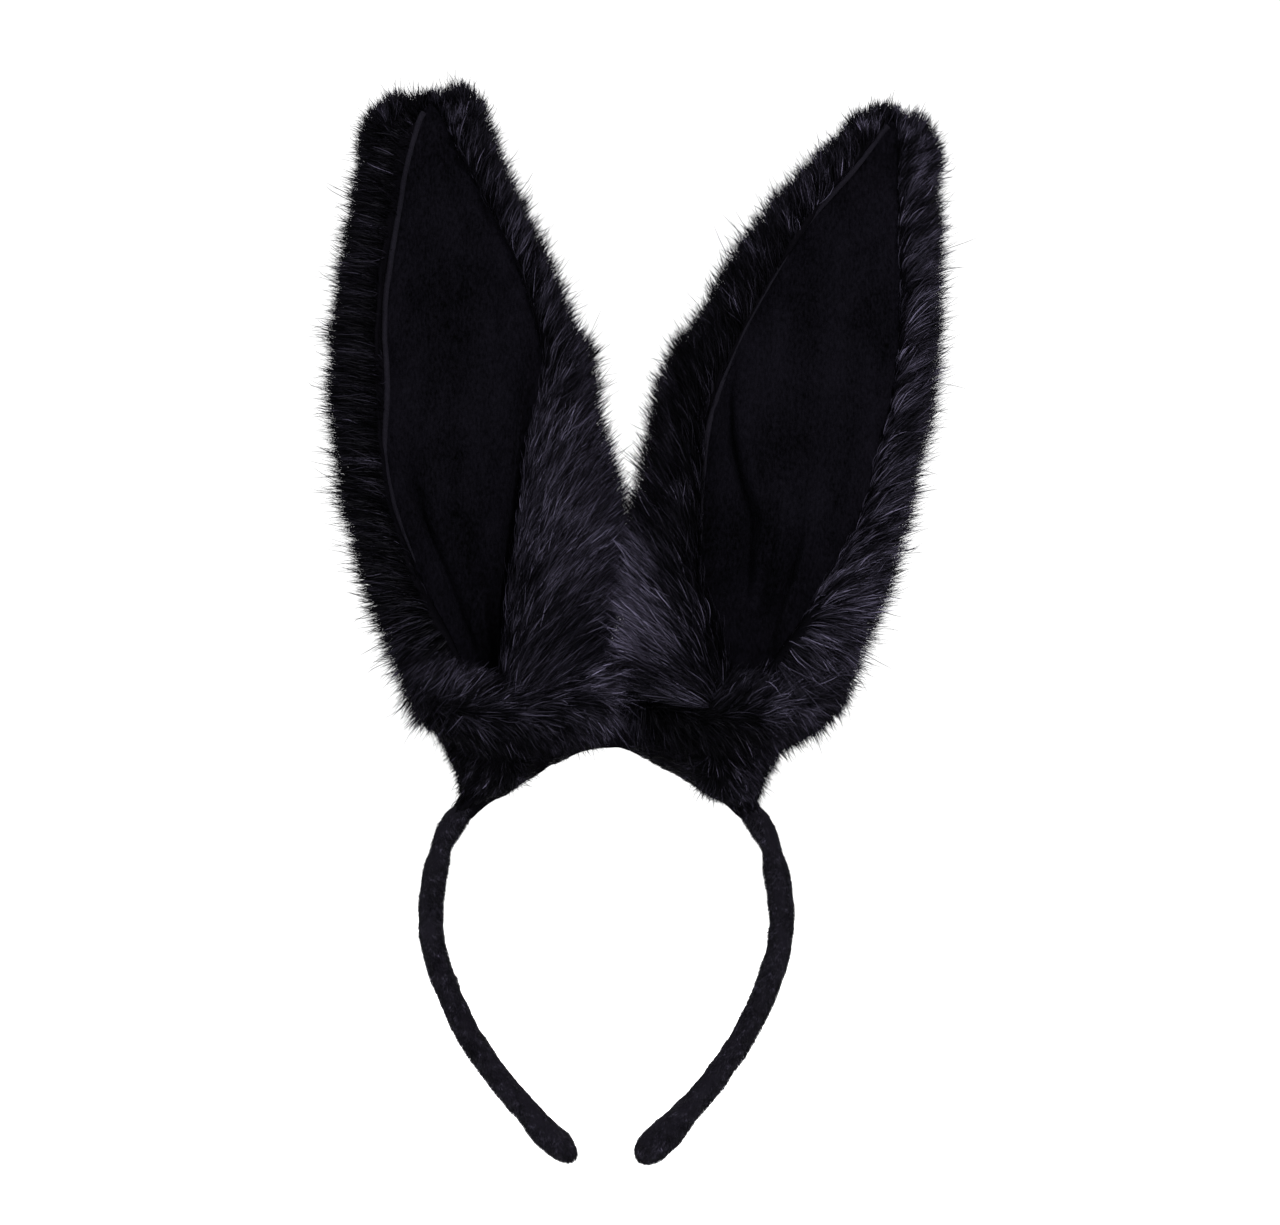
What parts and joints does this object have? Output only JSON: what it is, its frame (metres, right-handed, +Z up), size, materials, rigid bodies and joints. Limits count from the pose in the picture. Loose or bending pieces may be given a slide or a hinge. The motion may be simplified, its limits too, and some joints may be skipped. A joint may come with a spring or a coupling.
{
  "type": "animal ears headband",
  "caption": "Rabbit ears headband: wired, velvet-lined faux fur ears on a fur-covered crown, over a sprung velour band with padded tips.",
  "frame": {"origin": "middle of the fur cover's flat underside at the crown, where the band rests on the head", "axes": "+Z up through the ears, -Y to the front that the ears' linings face, +X to the right as seen from the front"},
  "size_m": [0.2128, 0.0319, 0.3745],
  "materials": {
    "fur": "long-pile black faux fur",
    "velvet": "short-nap black velvet",
    "velour": "short-pile black velour",
    "stiffener": "stiffened buckram",
    "spring_steel": "plain spring steel strip",
    "wire": "galvanised craft wire"
  },
  "bodies": {
    "crown": {"crown_core": "spring_steel", "crown_sleeve": "velour", "crown_fur_cover": "fur", "left_ear_wire_foot_inner": "wire", "left_ear_wire_foot_outer": "wire", "right_ear_wire_foot_inner": "wire", "right_ear_wire_foot_outer": "wire"},
    "left_arm": {"left_arm_core": "spring_steel", "left_arm_sleeve": "velour", "left_tip_pad": "velour"},
    "right_arm": {"right_arm_core": "spring_steel", "right_arm_sleeve": "velour", "right_tip_pad": "velour"},
    "left_ear": {"left_ear_fur_lower": "fur", "left_ear_lining_lower": "velvet", "left_ear_stiffener_lower": "stiffener", "left_ear_wire_leg_inner": "wire", "left_ear_wire_leg_outer": "wire"},
    "left_ear_tip": {"left_ear_fur_upper": "fur", "left_ear_lining_upper": "velvet", "left_ear_stiffener_upper": "stiffener", "left_ear_wire_arch": "wire"},
    "right_ear": {"right_ear_fur_lower": "fur", "right_ear_lining_lower": "velvet", "right_ear_stiffener_lower": "stiffener", "right_ear_wire_leg_inner": "wire", "right_ear_wire_leg_outer": "wire"},
    "right_ear_tip": {"right_ear_fur_upper": "fur", "right_ear_lining_upper": "velvet", "right_ear_stiffener_upper": "stiffener", "right_ear_wire_arch": "wire"}
  },
  "joints": [
    {"name": "left_arm_flex", "type": "hinge", "parent": "crown", "child": "left_arm", "pos_m": [-0.05188, 0, -0.02331], "axis": [0, 1, 0], "range_deg": [-4, 25], "stiffness_Nm_per_rad": 0.6},
    {"name": "right_arm_flex", "type": "hinge", "parent": "crown", "child": "right_arm", "pos_m": [0.05188, 0, -0.02331], "axis": [0, -1, 0], "range_deg": [-4, 25], "stiffness_Nm_per_rad": 0.6},
    {"name": "left_ear_tilt", "type": "hinge", "parent": "crown", "child": "left_ear", "pos_m": [-0.03229, 0, 0.0071], "axis": [1, 0, 0], "range_deg": [-35, 35]},
    {"name": "left_ear_fold", "type": "hinge", "parent": "left_ear", "child": "left_ear_tip", "pos_m": [-0.04626, -0.0065, 0.13687], "axis": [0.993, 0, 0.1184], "range_deg": [-20, 65]},
    {"name": "right_ear_tilt", "type": "hinge", "parent": "crown", "child": "right_ear", "pos_m": [0.04186, 0, 0.0071], "axis": [1, 0, 0], "range_deg": [-35, 35]},
    {"name": "right_ear_fold", "type": "hinge", "parent": "right_ear", "child": "right_ear_tip", "pos_m": [0.0724, -0.0065, 0.13368], "axis": [0.9659, 0, -0.2588], "range_deg": [-20, 65]}
  ]
}
